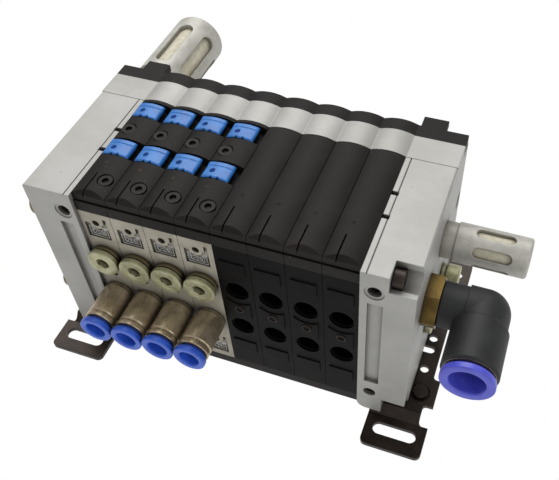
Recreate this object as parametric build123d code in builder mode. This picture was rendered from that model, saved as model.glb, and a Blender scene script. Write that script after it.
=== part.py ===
"""Pneumatic valve island: eight slices clamped between two end plates on two wall brackets.

Frame: +X along the row of slices, +Y to the rear, +Z up. The origin is the centre of the four
wall slots, on the plane that the bracket feet stand on.
"""
import os
from build123d import *

os.makedirs("parts", exist_ok=True)

# ---- driving sizes, in millimetres -------------------------------------------------------------
slice_pitch = 14.0          # width that one slice takes in the row
valve_slices = 4            # slices with a valve, from the left
blank_slices = 4            # slices with open ports and no valve
slice_gap = 0.2             # line left between two neighbours
plate_width = 20.0          # end plate, along X
plate_depth = 80.0          # end plate, along Y
plate_height = 90.0         # end plate, along Z
sheet = 2.0                 # bracket steel
foot_drop = 4.0             # how far the feet are pressed below the bracket strip
running_clearance = 0.1     # radial room round a piece that slides or turns
loose_clearance = 0.3       # radial room round a tie rod or a screw

slice_count = valve_slices + blank_slices
half_stack = slice_count * slice_pitch / 2
plate_bottom = foot_drop + sheet
top = plate_bottom + plate_height
front = -plate_depth / 2
rear = plate_depth / 2

# levels, measured down from the top, and depths, measured back from the plates' front face
crown = 1.4                 # rise of each slice's arched top
face_setback = 1.5          # slices stand this far behind the plates' front face
cover_front_setback = 2.0   # front edge of the cover above its groove
parting_depth = 58.2        # where the covers end and the rear rail begins
rail_depth = 12.9           # silver rear rail, along Y
strip_depth = 6.6           # black strip behind the rail, along Y
rail_height = 6.0           # rail and strip, along Z
ledge_drop = 8.6            # underside of the cover
groove_top_drop = 3.0       # groove under the cover's front edge
groove_height = 0.6
groove_depth = 1.2
floor_drop = 84.0           # underside of the slice bodies
floor_plate = 4.8           # black plate under the slices

slice_front = front + face_setback
parting = front + parting_depth
rail_rear = parting + rail_depth
strip_rear = rail_rear + strip_depth
rail_bottom = top - rail_height
cover_bottom = top - ledge_drop
slice_bottom = top - floor_drop
floor_bottom = slice_bottom - floor_plate
part_line = 0.2             # open line between the covers and the rail


def slice_left(index):
    """Left limit of a slice's pitch."""
    return -half_stack + index * slice_pitch


def slice_middle(index):
    return slice_left(index) + slice_pitch / 2


def front_plane(x, y, z):
    """A plane whose normal looks forward (-Y), with its own Y pointing up."""
    return Plane(origin=(x, y, z), x_dir=(1, 0, 0), z_dir=(0, -1, 0))


def side_plane(x, y, z, side):
    """A plane whose normal looks along +X (side 1) or -X (side -1)."""
    return Plane(origin=(x, y, z), x_dir=(0, side, 0), z_dir=(side, 0, 0))


def rear_plane(x, y, z):
    """A plane whose normal looks to the rear (+Y)."""
    return Plane(origin=(x, y, z), x_dir=(-1, 0, 0), z_dir=(0, 1, 0))


def drill(plane, radius, depth):
    """Cut a round hole against the plane's normal, into the part being built."""
    with BuildSketch(plane) as hole:
        Circle(radius)
    extrude(hole.sketch, amount=-depth, mode=Mode.SUBTRACT)


def turn(plane, radius, start, end, mode=Mode.ADD):
    """A round length along the plane's normal, from start to end."""
    with BuildSketch(plane.offset(start)) as disc:
        Circle(radius)
    extrude(disc.sketch, amount=end - start, mode=mode)


def keep(builder, name):
    """Label a finished piece and write its file."""
    builder.part.label = name
    export_step(builder.part, f"parts/{name}.step")


# ---- tie rods: four rods along X that clamp the row ---------------------------------------------
rod_radius = 2.0
rod_head_radius = 3.6
rod_head = 4.0
rod_head_setback = 5.6      # head's outer face, behind the plate's outer face
rod_front_depth = 5.4
rod_rear_depth = plate_depth - 4.6
rod_top_drop = 5.4
rod_rear_top_drop = 34.0
rod_bottom_drop = 79.5
rod_places = [
    (front + rod_front_depth, top - rod_top_drop),
    (front + rod_front_depth, top - rod_bottom_drop),
    (front + rod_rear_depth, top - rod_rear_top_drop),
    (front + rod_rear_depth, top - rod_bottom_drop),
]
rod_hole_radius = rod_radius + loose_clearance
plate_outer = half_stack + plate_width
rod_socket_width = 3.0      # across the flats of the key socket
rod_socket_depth = 2.0
rod_seat = plate_outer - rod_head_setback - rod_head
rod_grip = 12.0             # length of a rod in the left plate


def rod_holes(from_x, length):
    """Cut the four tie-rod holes through a piece, from one X to the next."""
    for rod_y, rod_z in rod_places:
        turn(side_plane(from_x, rod_y, rod_z, 1), rod_hole_radius, 0, length, Mode.SUBTRACT)


# ---- galleries: supply, pilot exhaust and main exhaust run along X through every slice ------------
supply_port = (20.6, 33.4)  # depth behind the front, drop below the top
pilot_port = (47.0, 27.5)
exhaust_drop = 16.0         # G3/8 port in the rear of the left plate
exhaust_gallery_depth = plate_depth - 15.5
gallery_radius = 4.0
galleries = [supply_port, pilot_port, (exhaust_gallery_depth, exhaust_drop)]


def gallery_bores(from_x, length):
    """Cut the three galleries through a piece, from one X to the next."""
    for depth, drop in galleries:
        turn(side_plane(from_x, front + depth, top - drop, 1), gallery_radius, 0, length, Mode.SUBTRACT)


with BuildPart() as tie_rods:
    for rod_y, rod_z in rod_places:
        axis = side_plane(0, rod_y, rod_z, 1)
        turn(axis, rod_radius, -half_stack - rod_grip, rod_seat)
        turn(axis, rod_head_radius, rod_seat, rod_seat + rod_head)
        with BuildSketch(axis.offset(rod_seat + rod_head)):
            RegularPolygon(rod_socket_width / 2, 6, major_radius=False)
        extrude(amount=-rod_socket_depth, mode=Mode.SUBTRACT)
keep(tie_rods, "tie_rods")

# ---- port places --------------------------------------------------------------------------------
port_radius = 4.4           # G1/8 thread, as a plain bore
port_mouth_radius = 4.87
port_mouth_depth = 1.0
port_depth = 12.0
upper_port_drop = 33.4
lower_port_drop = 56.4
port_screw_drop = 44.4
supply_radius = 5.9         # G1/4
right_plug_ports = [(54.0, 60.0), (32.0, 60.0)]
left_plug_ports = [(6.9, 14.6), (6.9, 60.6)]
exhaust_radius = 7.6        # G3/8
side_port_depth = 11.0

# ---- end plates ---------------------------------------------------------------------------------
plate_edge = 0.6
plate_inner_corner = 4.0
corner_pocket_width = 9.8
corner_pocket_depth = 8.4
corner_pocket_height = 7.6
lower_pocket_height = 10.0
face_hole_inset = 5.2       # holes in the plate's front face, from its inner edge
upper_face_hole_drop = 9.9
lower_face_hole_drop = 76.2
face_hole_radius = 2.6
face_ring_radius = 3.7
face_ring_depth = 0.5
face_hole_depth = 3.0
recess_width = 5.8
recess_height = 52.2
recess_top_drop = 16.3
recess_inset = 2.8
recess_depth = 1.6
blind_end = 1.0             # room past the end of a stem or a rod in a blind hole
top_line_inset = 2.0
top_line = 0.4
notch_depths = [26.4, 38.5]
notch_length = 2.0
notch_width = 2.6
notch_height = 4.0
bracket_screw_depths = [20.0, 60.0]
bracket_screw_radius = 2.0
bracket_screw_grip = 9.0


def end_plate(side):
    """Die-cast end plate; side is 1 for the right plate and -1 for the left."""
    inner = side * half_stack
    outer = side * plate_outer
    middle = (inner + outer) / 2
    with BuildPart() as plate:
        with BuildSketch(Plane.YZ.offset(min(inner, outer))):
            with BuildLine():
                Polyline((front, plate_bottom), (rear, plate_bottom), (rear, rail_bottom),
                         (parting, rail_bottom), (parting, top), (front, top), close=True)
            make_face()
        extrude(amount=plate_width)
        corner = plate.edges().filter_by(Axis.Y).group_by(Axis.Z)[0].sort_by(Axis.X)
        fillet(corner[0] if side > 0 else corner[-1], plate_inner_corner)
        if side > 0:
            # pockets that open the tie-rod heads at the front corners
            pocket_x = outer - side * corner_pocket_width / 2
            pocket_y = front + corner_pocket_depth / 2
            with BuildSketch(Plane.XY.offset(top)):
                with Locations((pocket_x, pocket_y)):
                    Rectangle(corner_pocket_width, corner_pocket_depth)
            extrude(amount=-corner_pocket_height, mode=Mode.SUBTRACT)
            with BuildSketch(Plane.XY.offset(plate_bottom)):
                with Locations((pocket_x, pocket_y)):
                    Rectangle(corner_pocket_width, corner_pocket_depth)
            extrude(amount=lower_pocket_height, mode=Mode.SUBTRACT)
        # front face: label recess, two screw holes
        recess_x = inner + side * (recess_inset + recess_width / 2)
        recess_z = top - recess_top_drop - recess_height / 2
        with BuildSketch(front_plane(recess_x, front, recess_z)):
            Rectangle(recess_width, recess_height)
        extrude(amount=-recess_depth, mode=Mode.SUBTRACT)
        hole_x = inner + side * face_hole_inset
        drill(front_plane(hole_x, front, top - upper_face_hole_drop), face_ring_radius, face_ring_depth)
        for drop in (upper_face_hole_drop, lower_face_hole_drop):
            drill(front_plane(hole_x, front, top - drop), face_hole_radius, face_hole_depth)
        # top: fine line beside the slices and two notches at the inner edge
        line_x = inner + side * (top_line_inset + top_line / 2)
        with BuildSketch(Plane.XY.offset(top)):
            with Locations((line_x, (front + parting) / 2)):
                Rectangle(top_line, parting_depth)
        extrude(amount=-top_line, mode=Mode.SUBTRACT)
        with BuildSketch(Plane.XY.offset(top)):
            with Locations(*[(inner + side * notch_width / 2, front + depth) for depth in notch_depths]):
                Rectangle(notch_width, notch_length)
        extrude(amount=-notch_height, mode=Mode.SUBTRACT)
        # tie rods: through holes and counterbores on the right, blind tapped holes on the left
        if side > 0:
            rod_holes(inner, plate_width)
            for rod_y, rod_z in rod_places:
                drill(side_plane(outer, rod_y, rod_z, side), rod_head_radius + loose_clearance,
                      rod_head_setback + rod_head)
        else:
            rod_holes(inner - rod_grip - blind_end, rod_grip + blind_end)
        # ports
        if side > 0:
            round_ports = [(supply_port, supply_radius), (pilot_port, port_radius)]
            round_ports += [(place, port_radius) for place in right_plug_ports]
            for depth, drop in (supply_port, pilot_port):
                turn(side_plane(inner, front + depth, top - drop, 1), gallery_radius, 0, plate_width, Mode.SUBTRACT)
        else:
            round_ports = [(place, port_radius) for place in left_plug_ports]
            drill(rear_plane(middle, rear, top - exhaust_drop), exhaust_radius,
                  plate_depth - exhaust_gallery_depth)
            turn(side_plane(middle, front + exhaust_gallery_depth, top - exhaust_drop, 1), gallery_radius,
                 0, plate_width / 2, Mode.SUBTRACT)
        for (depth, drop), radius in round_ports:
            drill(side_plane(outer, front + depth, top - drop, side), radius, side_port_depth)
        # tapped holes for the bracket screws, from below
        for depth in bracket_screw_depths:
            with BuildSketch(Plane.XY.offset(plate_bottom)):
                with Locations((middle, front + depth)):
                    Circle(bracket_screw_radius + loose_clearance)
            extrude(amount=bracket_screw_grip + 1, mode=Mode.SUBTRACT)
        outer_edges = plate.edges().filter_by(Axis.Y).group_by(Axis.X)[-1 if side > 0 else 0]
        chamfer(outer_edges.filter_by(lambda edge: edge.length > parting_depth / 2), plate_edge)
    return plate


left_end_plate = end_plate(-1)
keep(left_end_plate, "left_end_plate")
right_end_plate = end_plate(1)
keep(right_end_plate, "right_end_plate")

# ---- wall brackets: pressed steel, one under each end plate -------------------------------------
foot_width = 25.6
foot_offset = 18.0          # middle of the feet, out from the inner face of the plate
foot_reach = 13.5           # feet in front of and behind the plates
foot_inward = 1.0           # full foot width goes on under the plate by this much
joggle_start = 1.2
joggle_end = 4.4
neck_cut = 4.1              # how much narrower the neck is, on its outer side
neck_end = 9.0
lug_end = 22.0
waist_cut = 3.1
neck_corner = 1.6
foot_corner = 2.5
slot_length = 18.4
slot_width = 5.4
slot_reach = 5.1            # slot middle in front of and behind the plates
strip_hole_offset = 4.8     # middle of the foot to the row of holes in the strip
strip_holes = [(26.1, 1.9), (42.7, 1.9), (63.9, 1.9)]   # depth, radius
strip_slot_depth = 36.4
strip_slot = (8.0, 3.8)
clamp_screw_depth = 14.2
clamp_screw_offset = 5.8    # middle of the foot to the clamp screw
clamp_hole_radius = 2.2
clamp_dish_radius = 4.2
clamp_dish_depth = 0.6
clamp_head_radius = 3.2
clamp_head = 2.2


def wall_bracket(side):
    """Steel strip with a pressed foot at each end; side is 1 for the right and -1 for the left."""
    centre = side * (half_stack + foot_offset)
    outer_edge = centre + side * foot_width / 2
    front_tip = front - foot_reach
    rear_tip = rear + foot_reach
    low, high = foot_drop, foot_drop + sheet
    with BuildPart() as bracket:
        with BuildSketch(Plane.YZ.offset(centre - foot_width / 2)):
            with BuildLine():
                Polyline((front_tip, 0), (front + joggle_start, 0), (front + joggle_end, low),
                         (rear - joggle_end, low), (rear - joggle_start, 0), (rear_tip, 0),
                         (rear_tip, sheet), (rear - joggle_start, sheet), (rear - joggle_end, high),
                         (front + joggle_end, high), (front + joggle_start, sheet),
                         (front_tip, sheet), close=True)
            make_face()
        extrude(amount=foot_width)
        # narrow necks and waist along the outer side
        cuts = [(neck_cut, foot_inward, neck_end), (neck_cut, plate_depth - neck_end, plate_depth - foot_inward),
                (waist_cut, lug_end, plate_depth - lug_end)]
        for cut, first, last in cuts:
            with BuildSketch(Plane.XY):
                with Locations((outer_edge, front + (first + last) / 2)):
                    RectangleRounded(2 * cut, last - first, neck_corner)
            extrude(amount=high, mode=Mode.SUBTRACT)
        # wall slots in the feet
        with BuildSketch(Plane.XY):
            with Locations((centre, front - slot_reach), (centre, rear + slot_reach)):
                SlotOverall(slot_length, slot_width)
        extrude(amount=sheet, mode=Mode.SUBTRACT)
        # holes beside the plate
        row_x = centre + side * strip_hole_offset
        clamp_x = centre + side * clamp_screw_offset
        with BuildSketch(Plane.XY.offset(low)):
            for depth, radius in strip_holes:
                with Locations((row_x, front + depth)):
                    Circle(radius)
            with Locations((row_x - side * strip_slot[0] / 4, front + strip_slot_depth)):
                SlotOverall(*strip_slot)
            with Locations((clamp_x, front + clamp_screw_depth)):
                Circle(clamp_hole_radius)
        extrude(amount=sheet, mode=Mode.SUBTRACT)
        with BuildSketch(Plane.XY.offset(high)):
            with Locations((clamp_x, front + clamp_screw_depth)):
                Circle(clamp_dish_radius)
        extrude(amount=-clamp_dish_depth, mode=Mode.SUBTRACT)
        # countersinks for the screws that hold the bracket to its plate
        middle = side * (half_stack + plate_width / 2)
        for depth in bracket_screw_depths:
            with BuildSketch(Plane.XY.offset(low)):
                with Locations((middle, front + depth)):
                    Circle(2 * bracket_screw_radius + loose_clearance)
            extrude(amount=sheet, taper=45, mode=Mode.SUBTRACT)
            with BuildSketch(Plane.XY.offset(low)):
                with Locations((middle, front + depth)):
                    Circle(bracket_screw_radius + loose_clearance)
            extrude(amount=sheet, mode=Mode.SUBTRACT)
        feet_corners = bracket.edges().filter_by(Axis.Z).group_by(Axis.Y)
        fillet(feet_corners[0] + feet_corners[-1], foot_corner)
    return bracket


left_bracket = wall_bracket(-1)
keep(left_bracket, "left_bracket")
right_bracket = wall_bracket(1)
keep(right_bracket, "right_bracket")

with BuildPart() as bracket_screws:
    for side in (-1, 1):
        middle = side * (half_stack + plate_width / 2)
        for depth in bracket_screw_depths:
            with BuildSketch(Plane.XY.offset(foot_drop)):
                with Locations((middle, front + depth)):
                    Circle(2 * bracket_screw_radius)
            extrude(amount=bracket_screw_radius, taper=45)
            with BuildSketch(Plane.XY.offset(foot_drop)):
                with Locations((middle, front + depth)):
                    Circle(bracket_screw_radius)
            extrude(amount=sheet + bracket_screw_grip)
        clamp_x = side * (half_stack + foot_offset + clamp_screw_offset)
        dish = Plane.XY.offset(foot_drop + sheet - clamp_dish_depth)
        with BuildSketch(dish):
            with Locations((clamp_x, front + clamp_screw_depth)):
                Circle(clamp_head_radius)
        extrude(amount=clamp_head)
        with BuildSketch(dish):
            with Locations((clamp_x, front + clamp_screw_depth)):
                Circle(clamp_hole_radius - loose_clearance)
        extrude(amount=clamp_dish_depth - sheet)
keep(bracket_screws, "bracket_screws")

# ---- plate under the slices ---------------------------------------------------------------------
with BuildPart() as floor_plate_part:
    with BuildSketch(Plane.XY.offset(floor_bottom)):
        with Locations((0, (slice_front + rear) / 2)):
            Rectangle(2 * half_stack - slice_gap, rear - slice_front)
    extrude(amount=floor_plate)
keep(floor_plate_part, "floor_plate")

# ---- slices -------------------------------------------------------------------------------------
label_left = 1.7            # label pads and pockets on the port face, from the slice's left limit
label_right = 11.7
pad_height = 0.45
pad_port_room = 8.0         # a pad keeps this far from a port's axis
upper_label = (16.2, 22.8)  # drops from the top
middle_label = (36.0, 53.6)
lower_label = (67.2, 74.0)
pocket_labels = [(14.6, 22.6), (73.0, 81.0)]
pocket_depth = 1.0
boss_radius = 2.6
boss_hole_up = 0.4          # the boss's hole sits this far above the pocket's edge
notch_across = 1.5
notch_up = 3.4
cover_screw_radius = 1.45
cover_screw_grip = 6.0
front_screw = (9.8, 10.6)   # across from the slice's left limit, depth behind the front
rear_screw = (3.6, parting_depth - 18.8)
small_hole_radius = 1.5
small_hole_depth = 5.0
spool_bore_radius = 3.5
spool_length = 52.0
spool_travel = 1.5
spool_depth_middle = 41.0
spool_drop = 45.0


def label_pads(left):
    """Raised label pads on a blank slice: above the ports, round the screw hole and below."""
    middle_x = left + (label_left + label_right) / 2
    width = label_right - label_left
    for first, last in (upper_label, middle_label, lower_label):
        with BuildSketch(front_plane(middle_x, slice_front, top - (first + last) / 2)) as pad:
            Rectangle(width, last - first)
            with Locations(*[(left + slice_pitch / 2 - middle_x, (first + last) / 2 - drop)
                             for drop in (upper_port_drop, lower_port_drop)]):
                Circle(pad_port_room, mode=Mode.SUBTRACT)
        extrude(pad.sketch, amount=pad_height)


def label_pockets(left):
    """Sunk label squares on a valve slice, each with a round boss that reaches in and a notch."""
    middle_x = left + (label_left + label_right) / 2
    for first, last in pocket_labels:
        plane = front_plane(middle_x, slice_front, top - (first + last) / 2)
        up = (last - first) / 2
        side = (label_right - label_left) / 2
        with BuildSketch(plane) as pocket:
            Rectangle(2 * side, last - first)
            with Locations((side - notch_across / 2, up)):
                Rectangle(notch_across, 2 * notch_up)
            with Locations((0, up)):
                Circle(boss_radius, mode=Mode.SUBTRACT)
        extrude(pocket.sketch, amount=-pocket_depth, mode=Mode.SUBTRACT)
        drill(front_plane(middle_x, slice_front, top - first + boss_hole_up), small_hole_radius, small_hole_depth)


def slice_body(index):
    """Moulded body of one slice with its two front ports."""
    left = slice_left(index) + slice_gap / 2
    middle = slice_middle(index)
    is_valve = index < valve_slices
    with BuildPart() as body:
        with BuildSketch(Plane.YZ.offset(left)):
            with BuildLine():
                Polyline((slice_front, slice_bottom), (rear, slice_bottom), (rear, rail_bottom),
                         (parting, rail_bottom), (parting, cover_bottom),
                         (slice_front, cover_bottom), close=True)
            make_face()
        extrude(amount=slice_pitch - slice_gap)
        for drop in (upper_port_drop, lower_port_drop):
            port = front_plane(middle, slice_front, top - drop)
            drill(port, port_mouth_radius, port_mouth_depth)
            drill(port, port_radius, port_depth)
        drill(front_plane(middle, slice_front, top - port_screw_drop), small_hole_radius, small_hole_depth)
        rod_holes(left, slice_pitch)
        gallery_bores(left, slice_pitch)
        if is_valve:
            for across, depth in (front_screw, rear_screw):
                with BuildSketch(Plane.XY.offset(cover_bottom)):
                    with Locations((slice_left(index) + across, front + depth)):
                        Circle(cover_screw_radius + running_clearance)
                extrude(amount=-cover_screw_grip - 1, mode=Mode.SUBTRACT)
            label_pockets(slice_left(index))
            # closed spool bore
            turn(rear_plane(middle, front + spool_depth_middle, top - spool_drop), spool_bore_radius,
                 -spool_length / 2 - spool_travel - 1, spool_length / 2 + spool_travel + 1, Mode.SUBTRACT)
        else:
            label_pads(slice_left(index))
    return body


def arched_section(left, right, low):
    """Closed section across a slice: flat sides and an arched top."""
    with BuildLine() as outline:
        Line((left, low), (right, low))
        Line((right, low), (right, top))
        ThreePointArc((right, top), ((left + right) / 2, top + crown), (left, top))
        Line((left, top), (left, low))
    make_face(outline.line.edges())


cap_left = 0.35             # override caps, from the slice's left limit
cap_right = 11.3
front_cap = (23.9, 32.4)    # depths behind the front
rear_cap = (parting_depth - 10.8, parting_depth - 2.5)
cap_window_room = 0.3       # in front of a cap
cap_window_behind = 1.1
window_floor_drop = 2.6
cap_under_drop = 1.35
cap_travel = 0.9
cap_proud = 0.25
cap_ridge = 0.45
cap_ridge_length = 2.6
cap_stem_radius = 2.0
cap_stem_end_drop = 5.4
slit_across = 5.0
slit_width = 0.6
slit_end = 13.2
slit_depth = 1.0
front_bevel = 1.2
dimple = (5.7, 19.1)
dimple_radius = 0.6
screw_ring_radius = 3.1
screw_seat_drop = 0.5
screw_head_radius = 2.8
screw_head = 1.5


def slice_cover(index):
    """Black cover of one slice, with windows for the two override caps on a valve."""
    left = slice_left(index) + slice_gap / 2
    right = slice_left(index) + slice_pitch - slice_gap / 2
    length = parting - part_line - slice_front
    middle_y = (slice_front + parting) / 2
    with BuildPart() as cover:
        with BuildSketch(front_plane(0, slice_front, 0)):
            arched_section(left, right, cover_bottom)
        extrude(amount=-length)
        # groove under the front edge, and the edge itself a little further back and bevelled
        with BuildSketch(Plane.YZ.offset(left)):
            with Locations((slice_front + groove_depth / 2, top - groove_top_drop - groove_height / 2)):
                Rectangle(groove_depth, groove_height)
            with Locations((slice_front + (cover_front_setback - face_setback) / 2, top)):
                Rectangle(cover_front_setback - face_setback, 2 * groove_top_drop)
        extrude(amount=slice_pitch, mode=Mode.SUBTRACT)
        with BuildSketch(Plane.YZ.offset(left)):
            with BuildLine():
                Polyline((front + cover_front_setback, top + crown + 1), (front + cover_front_setback, top),
                         (front + cover_front_setback + front_bevel + crown + 1, top + crown + 1), close=True)
            make_face()
        extrude(amount=slice_pitch, mode=Mode.SUBTRACT)
        with BuildSketch(Plane.XY.offset(top + crown)):
            with Locations((slice_left(index) + slit_across, (slice_front + front + slit_end) / 2)):
                Rectangle(slit_width, slit_end + front - slice_front)
        extrude(amount=-slit_depth - crown, mode=Mode.SUBTRACT)
        with BuildSketch(Plane.XY.offset(top + crown)):
            with Locations((slice_left(index) + dimple[0], front + dimple[1])):
                Circle(dimple_radius)
        extrude(amount=-crown - dimple_radius, mode=Mode.SUBTRACT)
        rod_holes(left, slice_pitch)
        if index < valve_slices:
            for first, last in (front_cap, rear_cap):
                start = front + first - cap_window_room
                end = front + last + cap_window_behind
                end = min(end, parting - part_line - 0.5)
                with BuildSketch(Plane.XY.offset(top + crown)):
                    with Locations(((left + right) / 2, (start + end) / 2)):
                        Rectangle(slice_pitch, end - start)
                extrude(amount=-crown - window_floor_drop, mode=Mode.SUBTRACT)
                with BuildSketch(Plane.XY.offset(top)):
                    with Locations(((cap_left + cap_right) / 2 + slice_left(index), front + (first + last) / 2)):
                        Circle(cap_stem_radius + running_clearance)
                extrude(amount=-cap_stem_end_drop - cap_travel - loose_clearance, mode=Mode.SUBTRACT)
            for across, depth in (front_screw, rear_screw):
                place = (slice_left(index) + across, front + depth)
                with BuildSketch(Plane.XY.offset(top + crown)):
                    with Locations(place):
                        Circle(screw_ring_radius)
                extrude(amount=-crown - screw_seat_drop, mode=Mode.SUBTRACT)
                with BuildSketch(Plane.XY.offset(top)):
                    with Locations(place):
                        Circle(cover_screw_radius + running_clearance)
                extrude(amount=-ledge_drop, mode=Mode.SUBTRACT)
    return cover


def override_cap(index, depths):
    """Blue cap over the manual override: an arched plate with a raised rear edge and a stem."""
    left = slice_left(index) + cap_left
    right = slice_left(index) + cap_right
    first, last = front + depths[0], front + depths[1]
    slice_start = slice_left(index)
    with BuildPart() as cap:
        with BuildSketch(front_plane(0, first, 0)):
            with BuildLine():
                Line((slice_start, top - cap_under_drop), (slice_start + slice_pitch, top - cap_under_drop))
                Line((slice_start + slice_pitch, top - cap_under_drop), (slice_start + slice_pitch, top + cap_proud))
                ThreePointArc((slice_start + slice_pitch, top + cap_proud),
                              (slice_start + slice_pitch / 2, top + cap_proud + crown),
                              (slice_start, top + cap_proud))
                Line((slice_start, top + cap_proud), (slice_start, top - cap_under_drop))
            make_face()
        extrude(amount=first - last)
        with BuildSketch(front_plane(0, last - cap_ridge_length, 0)):
            with BuildLine():
                Line((slice_start, top), (slice_start + slice_pitch, top))
                Line((slice_start + slice_pitch, top), (slice_start + slice_pitch, top + cap_proud + cap_ridge))
                ThreePointArc((slice_start + slice_pitch, top + cap_proud + cap_ridge),
                              (slice_start + slice_pitch / 2, top + cap_proud + cap_ridge + crown),
                              (slice_start, top + cap_proud + cap_ridge))
                Line((slice_start, top + cap_proud + cap_ridge), (slice_start, top))
            make_face()
        extrude(amount=-cap_ridge_length)
        with BuildSketch(Plane.XY.offset(top + crown + 2)):
            with Locations(((left + right) / 2, (first + last) / 2)):
                RectangleRounded(right - left, last - first, 0.8)
        extrude(amount=-crown - 2 - cap_under_drop, mode=Mode.INTERSECT)
        with BuildSketch(Plane.XY.offset(top - cap_under_drop)):
            with Locations(((left + right) / 2, (first + last) / 2)):
                Circle(cap_stem_radius)
        extrude(amount=cap_under_drop - cap_stem_end_drop)
    return cap


for index in range(slice_count):
    kind = "valve" if index < valve_slices else "blank"
    number = index + 1 if index < valve_slices else index + 1 - valve_slices
    keep(slice_body(index), f"{kind}_body_{number}")
    keep(slice_cover(index), f"{kind}_cover_{number}")
    if index < valve_slices:
        keep(override_cap(index, front_cap), f"front_cap_{number}")
        keep(override_cap(index, rear_cap), f"rear_cap_{number}")

with BuildPart() as cover_screws:
    for index in range(valve_slices):
        for across, depth in (front_screw, rear_screw):
            place = (slice_left(index) + across, front + depth)
            with BuildSketch(Plane.XY.offset(top - screw_seat_drop)):
                with Locations(place):
                    Circle(screw_head_radius)
            extrude(amount=screw_head)
            with BuildSketch(Plane.XY.offset(top - screw_seat_drop + screw_head)):
                with Locations(place):
                    RegularPolygon(1.25, 6, major_radius=False)
            extrude(amount=-1.0, mode=Mode.SUBTRACT)
            with BuildSketch(Plane.XY.offset(top - screw_seat_drop)):
                with Locations(place):
                    Circle(cover_screw_radius)
            extrude(amount=screw_seat_drop - ledge_drop - cover_screw_grip)
keep(cover_screws, "cover_screws")

# ---- spools inside the valve slices -------------------------------------------------------------
spool_land_radius = spool_bore_radius - 0.05
spool_waist_radius = 2.0
spool_land = 6.0
spool_lands = 5


def valve_spool(index):
    """Turned spool: five lands on a thin stem."""
    axis = rear_plane(slice_middle(index), front + spool_depth_middle, top - spool_drop)
    step = (spool_length - spool_land) / (spool_lands - 1)
    with BuildPart() as spool:
        turn(axis, spool_waist_radius, -spool_length / 2, spool_length / 2)
        for land in range(spool_lands):
            start = -spool_length / 2 + land * step
            turn(axis, spool_land_radius, start, start + spool_land)
    return spool


for index in range(valve_slices):
    keep(valve_spool(index), f"valve_spool_{index + 1}")

# ---- rear rail and strip ------------------------------------------------------------------------
tab_width = 10.0
tab_reach = 5.8
tab_height = 3.0
tab_inset = 0.9


def rear_bar(first, last, low):
    """Bar across the whole island whose top follows the arches of the slices."""
    with BuildSketch(front_plane(0, first, 0)) as section:
        with BuildLine():
            Polyline((-half_stack, top), (-plate_outer, top), (-plate_outer, low), (plate_outer, low),
                     (plate_outer, top), (half_stack, top))
            for index in reversed(range(slice_count)):
                ThreePointArc((slice_left(index) + slice_pitch, top), (slice_middle(index), top + crown),
                              (slice_left(index), top))
        make_face()
    extrude(section.sketch, amount=first - last)


with BuildPart() as rear_rail:
    rear_bar(parting + part_line, rail_rear, rail_bottom)
keep(rear_rail, "rear_rail")

with BuildPart() as rear_strip:
    rear_bar(rail_rear, strip_rear, rail_bottom)
    with BuildSketch(Plane.XY.offset(top)):
        for side in (-1, 1):
            with Locations((side * (half_stack + tab_inset + tab_width / 2), strip_rear + tab_reach / 2)):
                Rectangle(tab_width, tab_reach)
    extrude(amount=-tab_height)
keep(rear_strip, "rear_strip")

# ---- hex-socket plugs ---------------------------------------------------------------------------
plug_flange_radius = 6.6
plug_washer_radius = 6.3
plug_neck_radius = 5.7
plug_washer = 1.8
plug_neck = 0.6
plug_flange = 2.3
plug_stem = 7.0
plug_socket_width = 5.0
plug_socket_depth = 4.0
left_plug_flange = 2.0
long_plug_flange = 5.6      # the taller of the two plugs on the right
short_plug_flange = 3.0


def plug(axis, washer, neck, flange):
    """One plug: washer, neck and chamfered flange outside, a threaded stem inside, and a key socket."""
    turn(axis, port_radius - running_clearance / 2, -plug_stem, washer)
    if washer > 0:
        turn(axis, plug_washer_radius, 0, washer)
        turn(axis, plug_neck_radius, washer, washer + neck)
    outer_end = washer + neck + flange
    turn(axis, plug_flange_radius, washer + neck, outer_end - 0.5)
    with BuildSketch(axis.offset(outer_end - 0.5)) as rim:
        Circle(plug_flange_radius)
    extrude(rim.sketch, amount=0.5, taper=45)
    with BuildSketch(axis.offset(outer_end)) as socket:
        RegularPolygon(plug_socket_width / 2, 6, major_radius=False)
    extrude(socket.sketch, amount=-plug_socket_depth, mode=Mode.SUBTRACT)


for index in range(valve_slices):
    with BuildPart() as port_plug:
        plug(front_plane(slice_middle(index), slice_front, top - upper_port_drop),
             plug_washer, plug_neck, plug_flange)
    keep(port_plug, f"port_plug_{index + 1}")

with BuildPart() as side_plugs:
    (long_plug, short_plug) = right_plug_ports
    plug(side_plane(plate_outer, front + long_plug[0], top - long_plug[1], 1),
         plug_washer, plug_neck, long_plug_flange)
    plug(side_plane(plate_outer, front + short_plug[0], top - short_plug[1], 1), 0, 0, short_plug_flange)
    for depth, drop in left_plug_ports:
        plug(side_plane(-plate_outer, front + depth, top - drop, -1), 0, 0, left_plug_flange)
keep(side_plugs, "side_plugs")

# ---- straight push-in fittings ------------------------------------------------------------------
fitting_radius = 6.6
fitting_length = 17.7       # outside the port
fitting_collar = 1.2        # chamfer at the port end
fitting_groove_from_end = 2.0
fitting_groove = 0.5
tube_radius = 4.0
tube_seat_radius = 4.08
fitting_through_radius = 3.0
fitting_tube_depth = 15.0
ring_sleeve_radius = 5.2
ring_sleeve_length = 6.0
ring_flange_radius = 6.8
ring_flange = 2.3
ring_gap = 1.4              # between body and flange, which is the ring's room to be pressed
ring_travel = 1.2
ring_bore_radius = 4.15
fitting_stem = 6.0


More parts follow.
